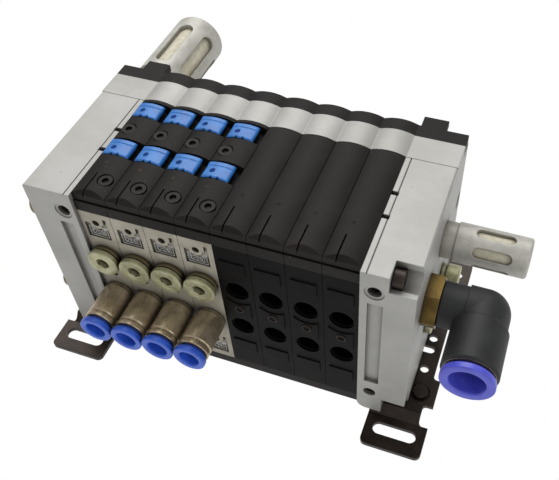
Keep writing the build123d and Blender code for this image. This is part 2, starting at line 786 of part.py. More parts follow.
def straight_fitting(index):
    """Nickel-plated body: threaded stem, round barrel with a groove near its end, tube seat."""
    axis = front_plane(slice_middle(index), slice_front, top - lower_port_drop)
    with BuildPart() as body:
        turn(axis, port_radius - running_clearance / 2, -fitting_stem, 0)
        turn(axis, fitting_radius - 0.7, 0, fitting_collar)
        with BuildSketch(axis.offset(fitting_collar)):
            Circle(fitting_radius - 0.5)
        extrude(amount=0.5, taper=-45)
        turn(axis, fitting_radius, fitting_collar + 0.5, fitting_length)
        with BuildSketch(axis.offset(fitting_length - fitting_groove_from_end)):
            Circle(fitting_radius)
            Circle(fitting_radius - fitting_groove, mode=Mode.SUBTRACT)
        extrude(amount=fitting_groove, mode=Mode.SUBTRACT)
        turn(axis, fitting_through_radius, -fitting_stem, fitting_length, Mode.SUBTRACT)
        turn(axis, tube_seat_radius, fitting_length - fitting_tube_depth, fitting_length, Mode.SUBTRACT)
        turn(axis, ring_sleeve_radius + running_clearance,
             fitting_length - ring_sleeve_length - ring_travel - loose_clearance, fitting_length, Mode.SUBTRACT)
        seal_groove(axis, fitting_length, tube_seat_radius)
    return body


def release_ring(axis, body_end, flange_radius, flange, sleeve_radius, sleeve_length, bore_radius):
    """Release ring: rounded flange and a sleeve that runs into the body."""
    with BuildPart() as ring:
        turn(axis, sleeve_radius, body_end - sleeve_length, body_end + ring_gap)
        turn(axis, flange_radius, body_end + ring_gap, body_end + ring_gap + flange)
        rims = ring.edges().filter_by(GeomType.CIRCLE)
        outer_rims = rims.filter_by(lambda edge: abs(edge.radius - flange_radius) < 0.01)
        fillet(outer_rims, flange * 0.3)
        turn(axis, bore_radius, body_end - sleeve_length, body_end + ring_gap + flange, Mode.SUBTRACT)
        mouth = ring.edges().filter_by(GeomType.CIRCLE)
        mouth = mouth.filter_by(lambda edge: abs(edge.radius - bore_radius) < 0.01)
        outward = Axis(axis.origin, axis.z_dir)
        chamfer(mouth.sort_by(outward)[-1], flange * 0.35)
    return ring


seal_section = 1.0          # radius of the tube seals' round section
seal_from_end = 10.2        # seal's middle, inside the body's outer end
seal_relief = 0.02          # how far the seal stays back from the tube
seal_room = 0.05


def seal_groove(axis, body_end, seat_radius):
    """Cut the groove that holds the tube seal."""
    outer = seat_radius + seal_relief + 2 * seal_section + seal_room
    middle = body_end - seal_from_end
    turn(axis, outer, middle - seal_section - seal_room, middle + seal_section + seal_room, Mode.SUBTRACT)


def tube_seal(axis, body_end, seat_radius):
    """One rubber ring, as a torus round the tube's axis."""
    place = axis.offset(body_end - seal_from_end)
    with Locations(Location(place)):
        Torus(seat_radius + seal_relief + seal_section, seal_section)


for index in range(valve_slices):
    keep(straight_fitting(index), f"straight_fitting_{index + 1}")
    axis = front_plane(slice_middle(index), slice_front, top - lower_port_drop)
    keep(release_ring(axis, fitting_length, ring_flange_radius, ring_flange, ring_sleeve_radius,
                      ring_sleeve_length, ring_bore_radius), f"release_ring_{index + 1}")

with BuildPart() as tube_seals:
    for index in range(valve_slices):
        tube_seal(front_plane(slice_middle(index), slice_front, top - lower_port_drop), fitting_length,
                  tube_seat_radius)
keep(tube_seals, "tube_seals")

# ---- swivelling elbow at the supply port --------------------------------------------------------
hex_flats = 19.0
hex_length = 5.6
elbow_gap = 0.3             # between the hexagon and the elbow
arm_radius = 8.85
knee_radius = 9.6
barrel_radius = 10.5
arm_start = hex_length + elbow_gap
knee_start = 15.0           # from the plate's outer face
knee_centre = 21.9
barrel_start = 6.9          # from the knee's axis, along the outlet
barrel_end = 26.6
neck_radius = 6.4
neck_length = 8.0
elbow_bore_radius = 6.1     # for a 12 mm tube
elbow_inner_radius = 4.6
elbow_tube_depth = 20.0
elbow_sleeve_radius = 8.2
elbow_sleeve_length = 7.0
elbow_ring_radius = 10.0
elbow_ring_flange = 2.5
stud_stem = 9.0
stud_through_radius = 3.5
supply_y = front + supply_port[0]
supply_z = top - supply_port[1]
stud_axis = side_plane(plate_outer, supply_y, supply_z, 1)
outlet_axis = front_plane(plate_outer + knee_centre, supply_y, supply_z)

with BuildPart() as elbow_stud:
    turn(stud_axis, supply_radius - running_clearance / 2, -stud_stem, 0)
    with BuildSketch(stud_axis):
        RegularPolygon(hex_flats / 2, 6, major_radius=False)
    extrude(amount=hex_length)
    turn(stud_axis, neck_radius, hex_length, hex_length + elbow_gap + neck_length)
    turn(stud_axis, stud_through_radius, -stud_stem, hex_length + elbow_gap + neck_length, Mode.SUBTRACT)
keep(elbow_stud, "elbow_stud")

with BuildPart() as elbow_body:
    turn(stud_axis, arm_radius, arm_start, knee_centre)
    turn(stud_axis, knee_radius, knee_start, knee_centre)
    with Locations(Location((plate_outer + knee_centre, supply_y, supply_z))):
        Sphere(knee_radius)
    turn(outlet_axis, knee_radius, 0, barrel_start)
    turn(outlet_axis, barrel_radius, barrel_start, barrel_end)
    barrel_rims = elbow_body.edges().filter_by(GeomType.CIRCLE)
    barrel_rims = barrel_rims.filter_by(lambda edge: abs(edge.radius - barrel_radius) < 0.01)
    chamfer(barrel_rims, 0.8)
    turn(stud_axis, neck_radius + 0.05, arm_start, arm_start + neck_length + loose_clearance, Mode.SUBTRACT)
    turn(stud_axis, elbow_inner_radius, arm_start, knee_centre, Mode.SUBTRACT)
    turn(outlet_axis, elbow_inner_radius, 0, barrel_end, Mode.SUBTRACT)
    turn(outlet_axis, elbow_bore_radius, barrel_end - elbow_tube_depth, barrel_end, Mode.SUBTRACT)
    turn(outlet_axis, elbow_sleeve_radius + running_clearance,
         barrel_end - elbow_sleeve_length - ring_travel - loose_clearance, barrel_end, Mode.SUBTRACT)
    seal_groove(outlet_axis, barrel_end, elbow_bore_radius)
keep(elbow_body, "elbow_body")

with BuildPart() as elbow_tube_seal:
    tube_seal(outlet_axis, barrel_end, elbow_bore_radius)
keep(elbow_tube_seal, "elbow_tube_seal")

keep(release_ring(outlet_axis, barrel_end, elbow_ring_radius, elbow_ring_flange, elbow_sleeve_radius,
                  elbow_sleeve_length, elbow_bore_radius + 0.1), "elbow_release_ring")

# ---- silencers: cast cage with long slots round a felt insert -----------------------------------


def silencer_cage(axis, radius, length, base, neck_r, thread_r, thread, slots, slot_w, slot_start, slot_end, wall):
    """Cast cage: threaded stem, narrower base, round body with a ring of through slots."""
    with BuildPart() as cage:
        turn(axis, thread_r, -thread, 0)
        turn(axis, neck_r, 0, base)
        turn(axis, radius, base, length)
        rims = cage.edges().filter_by(GeomType.CIRCLE)
        rims = rims.filter_by(lambda edge: abs(edge.radius - radius) < 0.01).sort_by(Axis(axis.origin, axis.z_dir))
        fillet(rims[-1], wall * 0.8)
        turn(axis, radius - wall, base, length - wall, Mode.SUBTRACT)
        turn(axis, thread_r - wall, -thread, base, Mode.SUBTRACT)
        for step in range(slots):
            outward = axis.x_dir.rotate(Axis((0, 0, 0), axis.z_dir), (step + 0.5) * 360 / slots)
            radial = Plane(origin=axis.origin, x_dir=axis.z_dir, z_dir=outward)
            with BuildSketch(radial.offset(radius - 2 * wall)):
                with Locations(((slot_start + slot_end) / 2, 0)):
                    SlotOverall(slot_end - slot_start, slot_w)
            extrude(amount=4 * wall, mode=Mode.SUBTRACT)
    return cage


def silencer_felt(axis, radius, length, base, wall):
    """Felt sleeve that fills the cage."""
    with BuildPart() as felt:
        turn(axis, radius - wall - 0.1, base + 0.1, length - wall - 0.1)
        turn(axis, (radius - wall) * 0.55, base + 0.1, length - 2.5 * wall, Mode.SUBTRACT)
    return felt


pilot_axis = side_plane(plate_outer, front + pilot_port[0], top - pilot_port[1], 1)
pilot_radius = 8.0
pilot_length = 33.4
pilot_base = 5.0
pilot_base_radius = 7.4
pilot_stem = 6.0
pilot_wall = 1.5
pilot_slot = (4.4, 12.0, pilot_length - 6.4)        # width, start and end along the axis
silencer_slots = 6
keep(silencer_cage(pilot_axis, pilot_radius, pilot_length, pilot_base, pilot_base_radius,
                   port_radius - running_clearance / 2, pilot_stem, silencer_slots, *pilot_slot, pilot_wall),
     "pilot_silencer_cage")
keep(silencer_felt(pilot_axis, pilot_radius, pilot_length, pilot_base, pilot_wall), "pilot_silencer_felt")

exhaust_axis = rear_plane(-half_stack - plate_width / 2, rear, top - exhaust_drop)
exhaust_cage_radius = 12.4
exhaust_length = 47.0
exhaust_base = 6.0
exhaust_base_radius = 10.5
exhaust_stem = 8.0
exhaust_wall = 2.0
exhaust_slot = (7.0, 10.0, exhaust_length - 8.0)
keep(silencer_cage(exhaust_axis, exhaust_cage_radius, exhaust_length, exhaust_base, exhaust_base_radius,
                   exhaust_radius - running_clearance / 2, exhaust_stem, silencer_slots, *exhaust_slot,
                   exhaust_wall), "exhaust_silencer_cage")
keep(silencer_felt(exhaust_axis, exhaust_cage_radius, exhaust_length, exhaust_base, exhaust_wall),
     "exhaust_silencer_felt")
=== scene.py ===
"""A pneumatic valve island dressed for rendering: eight slices clamped between two cast end plates.

The moulded, turned and cast surfaces are grids of two parameters. One parameter runs along a
profile, the other carries that profile along a line or round an axis, so that a point is the
axis point plus the profile's reach times a unit direction. Rounded corners come from arcs in the
profile. Shapes are worked out in millimetres and handed over in metres.
"""
import math
import bmesh
import bpy
import numpy as np
from mathutils import Matrix, Vector


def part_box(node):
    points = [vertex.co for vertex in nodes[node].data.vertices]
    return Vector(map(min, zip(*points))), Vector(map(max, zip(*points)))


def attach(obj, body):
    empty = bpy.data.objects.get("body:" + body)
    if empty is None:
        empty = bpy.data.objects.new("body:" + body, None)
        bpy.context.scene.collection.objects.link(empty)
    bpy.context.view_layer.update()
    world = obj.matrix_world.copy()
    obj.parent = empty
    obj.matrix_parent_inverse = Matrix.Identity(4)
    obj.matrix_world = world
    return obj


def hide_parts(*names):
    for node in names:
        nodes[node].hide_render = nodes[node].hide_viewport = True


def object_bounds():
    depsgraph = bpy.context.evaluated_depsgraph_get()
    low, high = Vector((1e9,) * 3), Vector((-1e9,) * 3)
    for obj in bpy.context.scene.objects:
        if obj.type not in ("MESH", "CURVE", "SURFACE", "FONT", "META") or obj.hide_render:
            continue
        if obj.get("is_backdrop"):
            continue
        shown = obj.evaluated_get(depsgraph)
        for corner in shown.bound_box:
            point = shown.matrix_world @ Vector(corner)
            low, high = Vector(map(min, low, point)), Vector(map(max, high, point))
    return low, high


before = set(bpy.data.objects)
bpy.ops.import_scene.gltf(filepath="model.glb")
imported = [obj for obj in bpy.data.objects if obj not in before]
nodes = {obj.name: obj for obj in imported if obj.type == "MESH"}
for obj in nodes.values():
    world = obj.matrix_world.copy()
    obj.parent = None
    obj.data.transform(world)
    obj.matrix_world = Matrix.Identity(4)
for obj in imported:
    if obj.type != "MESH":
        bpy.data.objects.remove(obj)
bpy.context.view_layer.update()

# ---- end plates and rear rail --------------------------------------------------------------------
# Die-cast aluminium, tumbled and given a thin satin silver paint. Handling has greyed the faces and the
# paint is rubbed bright on the edges. The pockets and the places round the plugs are darkened with painted shade.
class Socket:
    """A shader socket that adds Math nodes when it is used in an expression."""

    def __init__(self, tree, socket):
        self.tree = tree
        self.socket = socket

    def node(self, kind, settings=None, out=0, **inputs):
        """Add a node of a kind, apply its settings, feed its inputs, and hand back one output."""
        made = self.tree.nodes.new(kind)
        for key, value in (settings or {}).items():
            setattr(made, key, value)
        for key, value in inputs.items():
            name = int(key[1:]) if key[0] == "i" and key[1:].isdigit() else key.replace("_", " ")
            if isinstance(value, Socket):
                self.tree.links.new(value.socket, made.inputs[name])
            else:
                made.inputs[name].default_value = value
        return Socket(self.tree, made.outputs[out])

    def maths(self, operation, other):
        """This value and another through one Math node."""
        return self.node("ShaderNodeMath", {"operation": operation}, i0=self, i1=other)

    def __add__(self, other):
        return self.maths("ADD", other)

    def __mul__(self, other):
        return self.maths("MULTIPLY", other)

    def __sub__(self, other):
        return self.maths("SUBTRACT", other)

    def __rsub__(self, other):
        return self.node("ShaderNodeMath", {"operation": "SUBTRACT"}, i0=other, i1=self)

    __radd__ = __add__
    __rmul__ = __mul__

    def above(self, low, high):
        """0 below low, 1 above high, and a smooth step between them."""
        return self.node("ShaderNodeMapRange", {"interpolation_type": "SMOOTHSTEP"},
                         Value=self, From_Min=low, From_Max=high)

    def mix(self, first, second):
        """A colour that goes from first to second as this mask goes from 0 to 1."""
        return self.node("ShaderNodeMix", {"data_type": "RGBA"}, out=2, i0=self, i6=first, i7=second)


def colour(red, green, blue):
    """A written sRGB colour, 0 to 255, as the linear colour that the shader takes."""
    return tuple(((c / 255 + 0.055) / 1.055) ** 2.4 if c > 10 else c / 255 / 12.92
                 for c in (red, green, blue)) + (1.0,)


def start(name):
    """A new material: its shader node and a Socket with the place on the piece, in metres."""
    material = bpy.data.materials.new(name)
    material.use_nodes = True
    tree = material.node_tree
    shader = tree.nodes["Principled BSDF"]
    place = Socket(tree, tree.nodes.new("ShaderNodeTexCoord").outputs["Object"])
    return material, shader, place


def noise(place, scale, detail=3.0, rough=0.55, stretch=(1, 1, 1)):
    """Soft noise between 0 and 1 at a scale per metre, drawn out along an axis where stretch is small."""
    moved = place.node("ShaderNodeMapping", Vector=place, Scale=stretch)
    return place.node("ShaderNodeTexNoise", Vector=moved, Scale=scale, Detail=detail, Roughness=rough)


def edges(place, radius):
    """A rounded normal that turns over a radius at each edge, and a mask that is 1 on the edges."""
    soft = place.node("ShaderNodeBevel", {"samples": 6}, Radius=radius)
    flat = place.node("ShaderNodeNewGeometry", out="True Normal")
    along = place.node("ShaderNodeVectorMath", {"operation": "DOT_PRODUCT"}, out="Value", i0=soft, i1=flat)
    return soft, (1 - along).above(0.01, 0.12)


def corners(place, reach):
    """A mask from ambient occlusion, 1 deep in a corner or a hole where shade falls and 0 on an open face; mixing
    a dark colour by it paints shade into the colour.
    """
    open_sky = place.node("ShaderNodeAmbientOcclusion", {"samples": 6}, out="AO", Distance=reach)
    return 1 - open_sky.above(0.25, 0.95)


def dress(shader, base, roughness, metallic, bump, height, specular=0.5, normal=None):
    """Feed the shader: links where a value changes over the surface, numbers where it doesn't. The bump
    raises the surface by up to its height, in metres, on top of the normal."""
    tree = shader.id_data
    for name, value in (("Base Color", base), ("Roughness", roughness), ("Metallic", metallic)):
        if isinstance(value, Socket):
            tree.links.new(value.socket, shader.inputs[name])
        else:
            shader.inputs[name].default_value = value
    shader.inputs["Specular IOR Level"].default_value = specular
    inputs = {"Normal": normal} if normal is not None else {}
    raised = bump.node("ShaderNodeBump", Height=bump, Distance=height, Strength=1.0, **inputs)
    tree.links.new(raised.socket, shader.inputs["Normal"])


def paint(names, material):
    """Give one material to CAD nodes by name."""
    for name in names:
        mesh = nodes[name].data
        if mesh.materials:
            for slot in range(len(mesh.materials)):
                mesh.materials[slot] = material
        else:
            mesh.materials.append(material)


silver_paint, shader, place = start("silver_paint")
rounded, edge = edges(place, 0.0005)
painted_shade = corners(place, 0.006)
cloud = noise(place, 45, 5, 0.6)
grain = noise(place, 2600, 2)
spots = noise(place, 380, 3).above(0.68, 0.76)
base = cloud.above(0.3, 0.7).mix(colour(158, 157, 152), colour(174, 173, 169))
base = (spots * 0.35).mix(base, colour(132, 126, 114))
base = (edge * 0.5).mix(base, colour(206, 206, 203))
# painted shade: the AO mask darkens the colour in pockets, corners and round the plugs
base = (painted_shade * 0.8).mix(base, colour(58, 52, 45))
dress(shader, base, grain * 0.1 + cloud * 0.14 + 0.36, 0.25, grain * 0.4 + cloud * 0.8, 0.00005, normal=rounded)
paint(["left_end_plate", "right_end_plate", "rear_rail"], silver_paint)

# ---- covers and black strips ---------------------------------------------------------------------
# Injection-moulded in black glass-filled nylon, with a fine spark-eroded grain that has gone slightly
# shiny on top. Grey dust lies in the grain, and painted shade darkens the slits and seams.
black_plastic, shader, place = start("black_plastic")
rounded, edge = edges(place, 0.0004)
painted_shade = corners(place, 0.003)
cloud = noise(place, 80, 5, 0.6)
grain = noise(place, 3000, 2)
dust = noise(place, 900, 2).above(0.72, 0.8)
base = cloud.above(0.3, 0.75).mix(colour(22, 19, 17), colour(34, 30, 27))
base = (edge * 0.45).mix(base, colour(60, 55, 51))
base = (dust * 0.4).mix(base, colour(128, 118, 102))
# painted shade: the AO mask darkens the colour in the slits, seams and corners
base = (painted_shade * 0.8).mix(base, colour(12, 10, 9))
dress(shader, base, grain * 0.16 + cloud * 0.14 + 0.42, 0.0, grain + cloud * 0.5, 0.00004, specular=0.17,
      normal=rounded)
paint([n for n in nodes if "cover_" in n and n != "cover_screws"], black_plastic)
paint(["rear_strip", "floor_plate"], black_plastic)

# ---- slice bodies --------------------------------------------------------------------------------
# The port faces are moulded blocks: cream on the valve slices, yellowed by oil, and near-black on the
# blank ones. The label squares are cast in. The bores show bare threads, darkened with painted shade.
cream_plastic, shader, place = start("cream_plastic")
rounded, edge = edges(place, 0.0003)
painted_shade = corners(place, 0.009)
cloud = noise(place, 110, 5, 0.6)
stain = noise(place, 260, 4).above(0.55, 0.75)
base = cloud.above(0.3, 0.7).mix(colour(158, 152, 136), colour(182, 176, 160))
base = (stain * 0.4).mix(base, colour(120, 104, 80))
base = (edge * 0.5).mix(base, colour(206, 201, 186))
# painted shade: the AO mask darkens the colour to near black in the bores and corners
base = (painted_shade * 0.95).mix(base, colour(26, 22, 17))
dress(shader, base, cloud * 0.2 + 0.45, 0.0, noise(place, 2600, 2) + cloud, 0.00004, normal=rounded)
paint([n for n in nodes if n.startswith("valve_body")], cream_plastic)

slate_plastic, shader, place = start("slate_plastic")
rounded, edge = edges(place, 0.0003)
painted_shade = corners(place, 0.012)
cloud = noise(place, 120, 5, 0.6)
base = cloud.above(0.3, 0.75).mix(colour(8, 7, 6), colour(16, 14, 13))
base = (edge * 0.5).mix(base, colour(48, 44, 40))
# painted shade: the AO mask darkens the colour in the bores and corners
base = (painted_shade * 0.95).mix(base, colour(3, 3, 3))
dress(shader, base, cloud * 0.2 + 0.42, 0.0, noise(place, 2600, 2) + cloud, 0.00004, specular=0.07,
      normal=rounded)
paint([n for n in nodes if n.startswith("blank_body")], slate_plastic)

# ---- swivel elbow ---------------------------------------------------------------------------------
# Moulded in black nylon with a fine grain. The barrel is a separate moulding welded to the knee, so
# its shoulder stands proud. The hexagon under it is turned brass gone brown between the flats.
elbow_nylon, shader, place = start("elbow_nylon")
rounded, edge = edges(place, 0.0007)
cloud = noise(place, 90, 5, 0.6)
grain = noise(place, 2200, 3)
base = cloud.above(0.3, 0.75).mix(colour(27, 28, 29), colour(39, 40, 41))
base = (edge * 0.4).mix(base, colour(70, 70, 69))
dress(shader, base, grain * 0.14 + cloud * 0.12 + 0.44, 0.0, grain + cloud * 0.4, 0.00006, specular=0.4,
      normal=rounded)
paint(["elbow_body"], elbow_nylon)

brass, shader, place = start("brass")
rounded, edge = edges(place, 0.0004)
painted_shade = corners(place, 0.004)
cloud = noise(place, 180, 5, 0.6)
base = cloud.above(0.3, 0.7).mix(colour(88, 70, 32), colour(126, 104, 54))
base = (edge * 0.6).mix(base, colour(184, 162, 108))
# painted shade: the AO mask darkens the colour in the corners
base = (painted_shade * 0.8).mix(base, colour(34, 27, 16))
dress(shader, base, cloud * 0.25 + 0.3, 0.75, noise(place, 1400, 3), 0.00004, normal=rounded)
paint(["elbow_stud"], brass)

# ---- brackets, rods and screws --------------------------------------------------------------------
# Pressed from 2 mm steel and dipped in dark phosphate, which is worn to brown metal on the edges. The
# rods and screws are black socket heads.
dark_steel, shader, place = start("dark_steel")
rounded, edge = edges(place, 0.0005)
painted_shade = corners(place, 0.004)
cloud = noise(place, 120, 5, 0.65)
rust = noise(place, 420, 4).above(0.58, 0.78)
base = cloud.above(0.3, 0.75).mix(colour(38, 31, 27), colour(62, 51, 44))
base = (rust * 0.35).mix(base, colour(96, 70, 52))
base = (edge * 0.5).mix(base, colour(92, 78, 66))
# painted shade: the AO mask darkens the colour in corners and holes
base = (painted_shade * 0.8).mix(base, colour(10, 8, 7))
dress(shader, base, cloud * 0.3 + 0.28, 0.5, noise(place, 900, 3) + cloud, 0.00005, normal=rounded)
paint(["left_bracket", "right_bracket", "bracket_screws", "tie_rods"] +
      [n for n in nodes if n.startswith("valve_spool")], dark_steel)

screw_black, shader, place = start("screw_black")
rounded, edge = edges(place, 0.0003)
painted_shade = corners(place, 0.004)
cloud = noise(place, 300, 4)
base = cloud.above(0.3, 0.7).mix(colour(16, 14, 12), colour(30, 26, 22))
base = (edge * 0.4).mix(base, colour(62, 53, 44))
# painted shade: the AO mask darkens the colour in the sockets and corners
base = (painted_shade * 0.95).mix(base, colour(4, 3, 3))
dress(shader, base, cloud * 0.2 + 0.4, 0.0, cloud, 0.00003, specular=0.2, normal=rounded)
paint(["cover_screws"], screw_black)

# ---- silencers -------------------------------------------------------------------------------------
# Gravity-cast aluminium cages, left as cast with fettled seams, round a sleeve of pressed felt.
cast_grey, shader, place = start("cast_grey")
rounded, edge = edges(place, 0.0006)
painted_shade = corners(place, 0.004)
cloud = noise(place, 140, 5, 0.6)
pits = noise(place, 1100, 3).above(0.62, 0.75)
base = cloud.above(0.3, 0.7).mix(colour(172, 170, 161), colour(194, 192, 184))
base = (pits * 0.4).mix(base, colour(128, 124, 112))
base = (edge * 0.5).mix(base, colour(216, 216, 213))
# painted shade: the AO mask darkens the colour in corners and between the bars
base = (painted_shade * 0.7).mix(base, colour(84, 76, 62))
dress(shader, base, cloud * 0.2 + 0.38, 0.25, pits * -1.0 + cloud, 0.00008, specular=0.45, normal=rounded)
paint(["pilot_silencer_cage", "exhaust_silencer_cage"], cast_grey)

felt, shader, place = start("felt")
painted_shade = corners(place, 0.003)
cloud = noise(place, 500, 5)
base = cloud.above(0.3, 0.75).mix(colour(206, 200, 178), colour(226, 221, 202))
# painted shade: the AO mask darkens the colour where the felt sits in corners
base = (painted_shade * 0.45).mix(base, colour(96, 84, 62))
dress(shader, base, 0.95, 0.0, noise(place, 2600, 3) + cloud, 0.0002, specular=0.1)
paint(["pilot_silencer_felt", "exhaust_silencer_felt"], felt)

rubber, shader, place = start("rubber")
base = noise(place, 300).mix(colour(18, 18, 18), colour(30, 29, 28))
dress(shader, base, 0.6, 0.0, noise(place, 1500), 0.00003)
paint(["tube_seals", "elbow_tube_seal"], rubber)


# ---- screw plugs -------------------------------------------------------------------------------------
# Turned from steel and zinc-plated, yellowed since, with a rolled flange, a key socket and a sealing
# washer behind. Four close the upper ports of the valve slices, four the ports of the end plates.
def rounded_line(points, radii, steps=4):
    """A polyline whose corners are arcs: each corner point is replaced by points on a circle that
    touches both runs, worked out as the quadratic blend of the two touching points and the corner."""
    points = np.asarray(points, float)
    out = []
    for k, point in enumerate(points):
        radius = radii[k] if k < len(radii) else 0.0
        if radius <= 0 or k in (0, len(points) - 1):
            out.append(point[None])
            continue
        back, ahead = points[k - 1] - point, points[k + 1] - point
        reach = min(radius, 0.49 * np.hypot(*back), 0.49 * np.hypot(*ahead))
        first = point + back / np.hypot(*back) * reach
        last = point + ahead / np.hypot(*ahead) * reach
        t = np.linspace(0, 1, steps + 1)[:, None]
        out.append((1 - t) ** 2 * first + 2 * t * (1 - t) * point + t ** 2 * last)
    return np.concatenate(out)


def turned(line, origin, axis, hexed=None, around=64):
    """A profile of (along, reach) pairs in millimetres carried round an axis: point = origin + axis *
    along + (side * cos + up * sin) * reach. Where hexed is 1 the reach follows a hexagon's flats."""
    axis = np.asarray(axis, float)
    side = np.array([1.0, 0.0, 0.0] if abs(axis[2]) > 0.5 else [0.0, 0.0, 1.0])
    up = np.cross(axis, side)
    angle = np.arange(around) * 2 * np.pi / around
    flat = 1 / np.cos((angle % (np.pi / 3)) - np.pi / 6)
    share = np.zeros(len(line)) if hexed is None else np.asarray(hexed, float)
    reach = line[:, 1:2] * (1 + share[:, None] * (flat[None] - 1))
    ring = side[None] * np.cos(angle)[:, None] + up[None] * np.sin(angle)[:, None]
    points = (np.asarray(origin, float)[None, None] + axis[None, None] * line[:, 0][:, None, None]
              + ring[None] * reach[:, :, None])
    rows, columns = len(line), around
    first = np.arange(rows - 1)[:, None] * columns + np.arange(columns)[None]
    turn = np.roll(np.arange(columns), -1)
    faces = np.stack([first, first + columns, np.arange(1, rows)[:, None] * columns + turn[None],
                      np.arange(rows - 1)[:, None] * columns + turn[None]], -1)
    return points.reshape(-1, 3), faces.reshape(-1, 4)


def piece(name, shapes, material, body, hides=()):
    """Join shapes, given in millimetres, into one mesh that rides on a body and stands for CAD nodes."""
    points, faces, start_at = [], [], 0
    for shape_points, shape_faces in shapes:
        points.append(shape_points)
        faces.append(shape_faces + start_at)
        start_at += len(shape_points)
    points, faces = np.concatenate(points) / 1000, np.concatenate(faces)
    mesh = bpy.data.meshes.new(name)
    mesh.from_pydata(points.tolist(), [], faces.tolist())
    made = bmesh.new()
    made.from_mesh(mesh)
    bmesh.ops.remove_doubles(made, verts=made.verts, dist=1e-7)
    bmesh.ops.recalc_face_normals(made, faces=made.faces)
    made.to_mesh(mesh)
    made.free()
    mesh.shade_smooth()
    mesh.set_sharp_from_angle(angle=math.radians(35))
    mesh.materials.append(material)
    thing = bpy.data.objects.new(name, mesh)
    bpy.context.scene.collection.objects.link(thing)
    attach(thing, body)
    if hides:
        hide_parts(*hides)


def port(node):
    """Where a round piece in a port face has its axis: the place on the face in the middle of its box
    across X and Z, in millimetres."""
    low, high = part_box(node)
    return 500 * (low.x + high.x), port_face, 500 * (low.z + high.z)


plug_zinc, shader, place = start("plug_zinc")
rounded, edge = edges(place, 0.0003)
painted_shade = corners(place, 0.003)
cloud = noise(place, 230, 5, 0.6)
lathe_lines = noise(place, 900, 2, stretch=(0.3, 6, 0.3))
base = cloud.above(0.3, 0.7).mix(colour(150, 148, 112), colour(188, 186, 150))
base = (lathe_lines.above(0.55, 0.8) * 0.4).mix(base, colour(206, 206, 184))
depth = place.node("ShaderNodeSeparateXYZ", out=1, Vector=place)
behind = depth.above(-0.0411, -0.0405) * (1 - depth.above(-0.0385, -0.038))     # the front washers
base = (behind * 0.75).mix(base, colour(96, 76, 44))
# painted shade: the AO mask darkens the colour in the key sockets and corners
base = (painted_shade * 0.95).mix(base, colour(22, 18, 12))
dress(shader, base, cloud * 0.25 + 0.3, 0.55, lathe_lines + cloud, 0.00005, normal=rounded)


port_face = -38.5           # y of the slices' port faces
plate_side = 76.0           # x of the end plates' outer faces
forward, leftward, rightward = (0, -1, 0), (-1, 0, 0), (1, 0, 0)
plug_stem = 4.3             # reaches from the plug's axis
plug_neck = 5.7
plug_washer = 6.3
plug_flange = 6.6
plug_key = 2.5
plug_dish = 0.15            # how far the face is sunk inside its rim
plug_round = 72


def plug_shape(origin, axis, washer, neck, flange):
    """Plug profile: stem, washer, neck, flange with rolled rims, a dished face and the key socket."""
    face = washer + neck + flange
    line = [(-7.0, 0.0), (-7.0, plug_stem), (0.0, plug_stem)]
    soft = [0, 0.3, 0]
    if washer:
        line += [(0.0, plug_washer), (washer, plug_washer), (washer, plug_neck)]
        soft += [0.3, 0.4, 0.1]
    else:
        line += [(0.0, plug_neck)]
        soft += [0.0]
    line += [(washer + neck, plug_neck), (washer + neck, plug_flange), (face, plug_flange), (face, 4.2),
             (face - plug_dish, 3.8), (face - plug_dish, 2.9), (face - 0.5, plug_key), (face - 4.0, plug_key),
             (face - 4.6, 0.0)]
    soft += [0.1, 0.5, 0.7, 0.3, 0.3, 0.3, 0.1, 0.1, 0]
    line = rounded_line(line, soft)
    hexed = (line[:, 1] < plug_key + 0.05) & (line[:, 0] > face - 4.65) & (line[:, 1] > 0)
    return turned(line, origin, axis, hexed, plug_round)


for number in range(1, 5):
    node = f"port_plug_{number}"
    shape = plug_shape(port(node), forward, 1.8, 0.6, 2.3)
    piece(f"plug_{number}", [shape], plug_zinc, "island", [node])

side_shapes = [plug_shape((plate_side, 14, 36), rightward, 1.8, 0.6, 5.6),
               plug_shape((plate_side, -8, 36), rightward, 0, 0, 3.0),
               plug_shape((-plate_side, -33.1, 81.4), leftward, 0, 0, 2.0),
               plug_shape((-plate_side, -33.1, 35.4), leftward, 0, 0, 2.0)]
piece("end_plugs", side_shapes, plug_zinc, "island", ["side_plugs"])

# ---- push-in fittings and their release rings ----------------------------------------------------------
# The fitting bodies are turned from brass and nickel-plated, brushed along their length and gone brown,
# and screw into the lower ports. The release rings are moulded in blue acetal and slide in their mouths.
fitting_nickel, shader, place = start("fitting_nickel")
rounded, edge = edges(place, 0.0003)
painted_shade = corners(place, 0.003)
cloud = noise(place, 130, 5, 0.6)
brush = noise(place, 700, 3, stretch=(3, 0.12, 3))
patina = noise(place, 180, 3, 0.6, (1, 0.4, 1)).above(0.5, 0.85)
base = cloud.above(0.3, 0.7).mix(colour(164, 146, 118), colour(198, 182, 154))
base = (brush.above(0.45, 0.75) * 0.5).mix(base, colour(218, 206, 184))
base = (patina * 0.5).mix(base, colour(120, 98, 68))
base = (edge * 0.5).mix(base, colour(224, 217, 204))
# painted shade: the AO mask darkens the colour in the grooves, bores and corners
base = (painted_shade * 0.6).mix(base, colour(46, 36, 26))
dress(shader, base, cloud * 0.15 + patina * 0.15 + 0.2, 0.7, brush + cloud, 0.00002, normal=rounded)

ring_blue, shader, place = start("ring_blue")
rounded, edge = edges(place, 0.0003)
painted_shade = corners(place, 0.003)
cloud = noise(place, 200, 4)
base = cloud.above(0.3, 0.75).mix(colour(40, 84, 196), colour(58, 104, 220))
base = (edge * 0.3).mix(base, colour(110, 148, 236))
# painted shade: the AO mask darkens the colour in the mouth and corners
base = (painted_shade * 0.7).mix(base, colour(10, 22, 66))
dress(shader, base, cloud * 0.15 + 0.3, 0.0, noise(place, 2400, 2), 0.00002, normal=rounded)


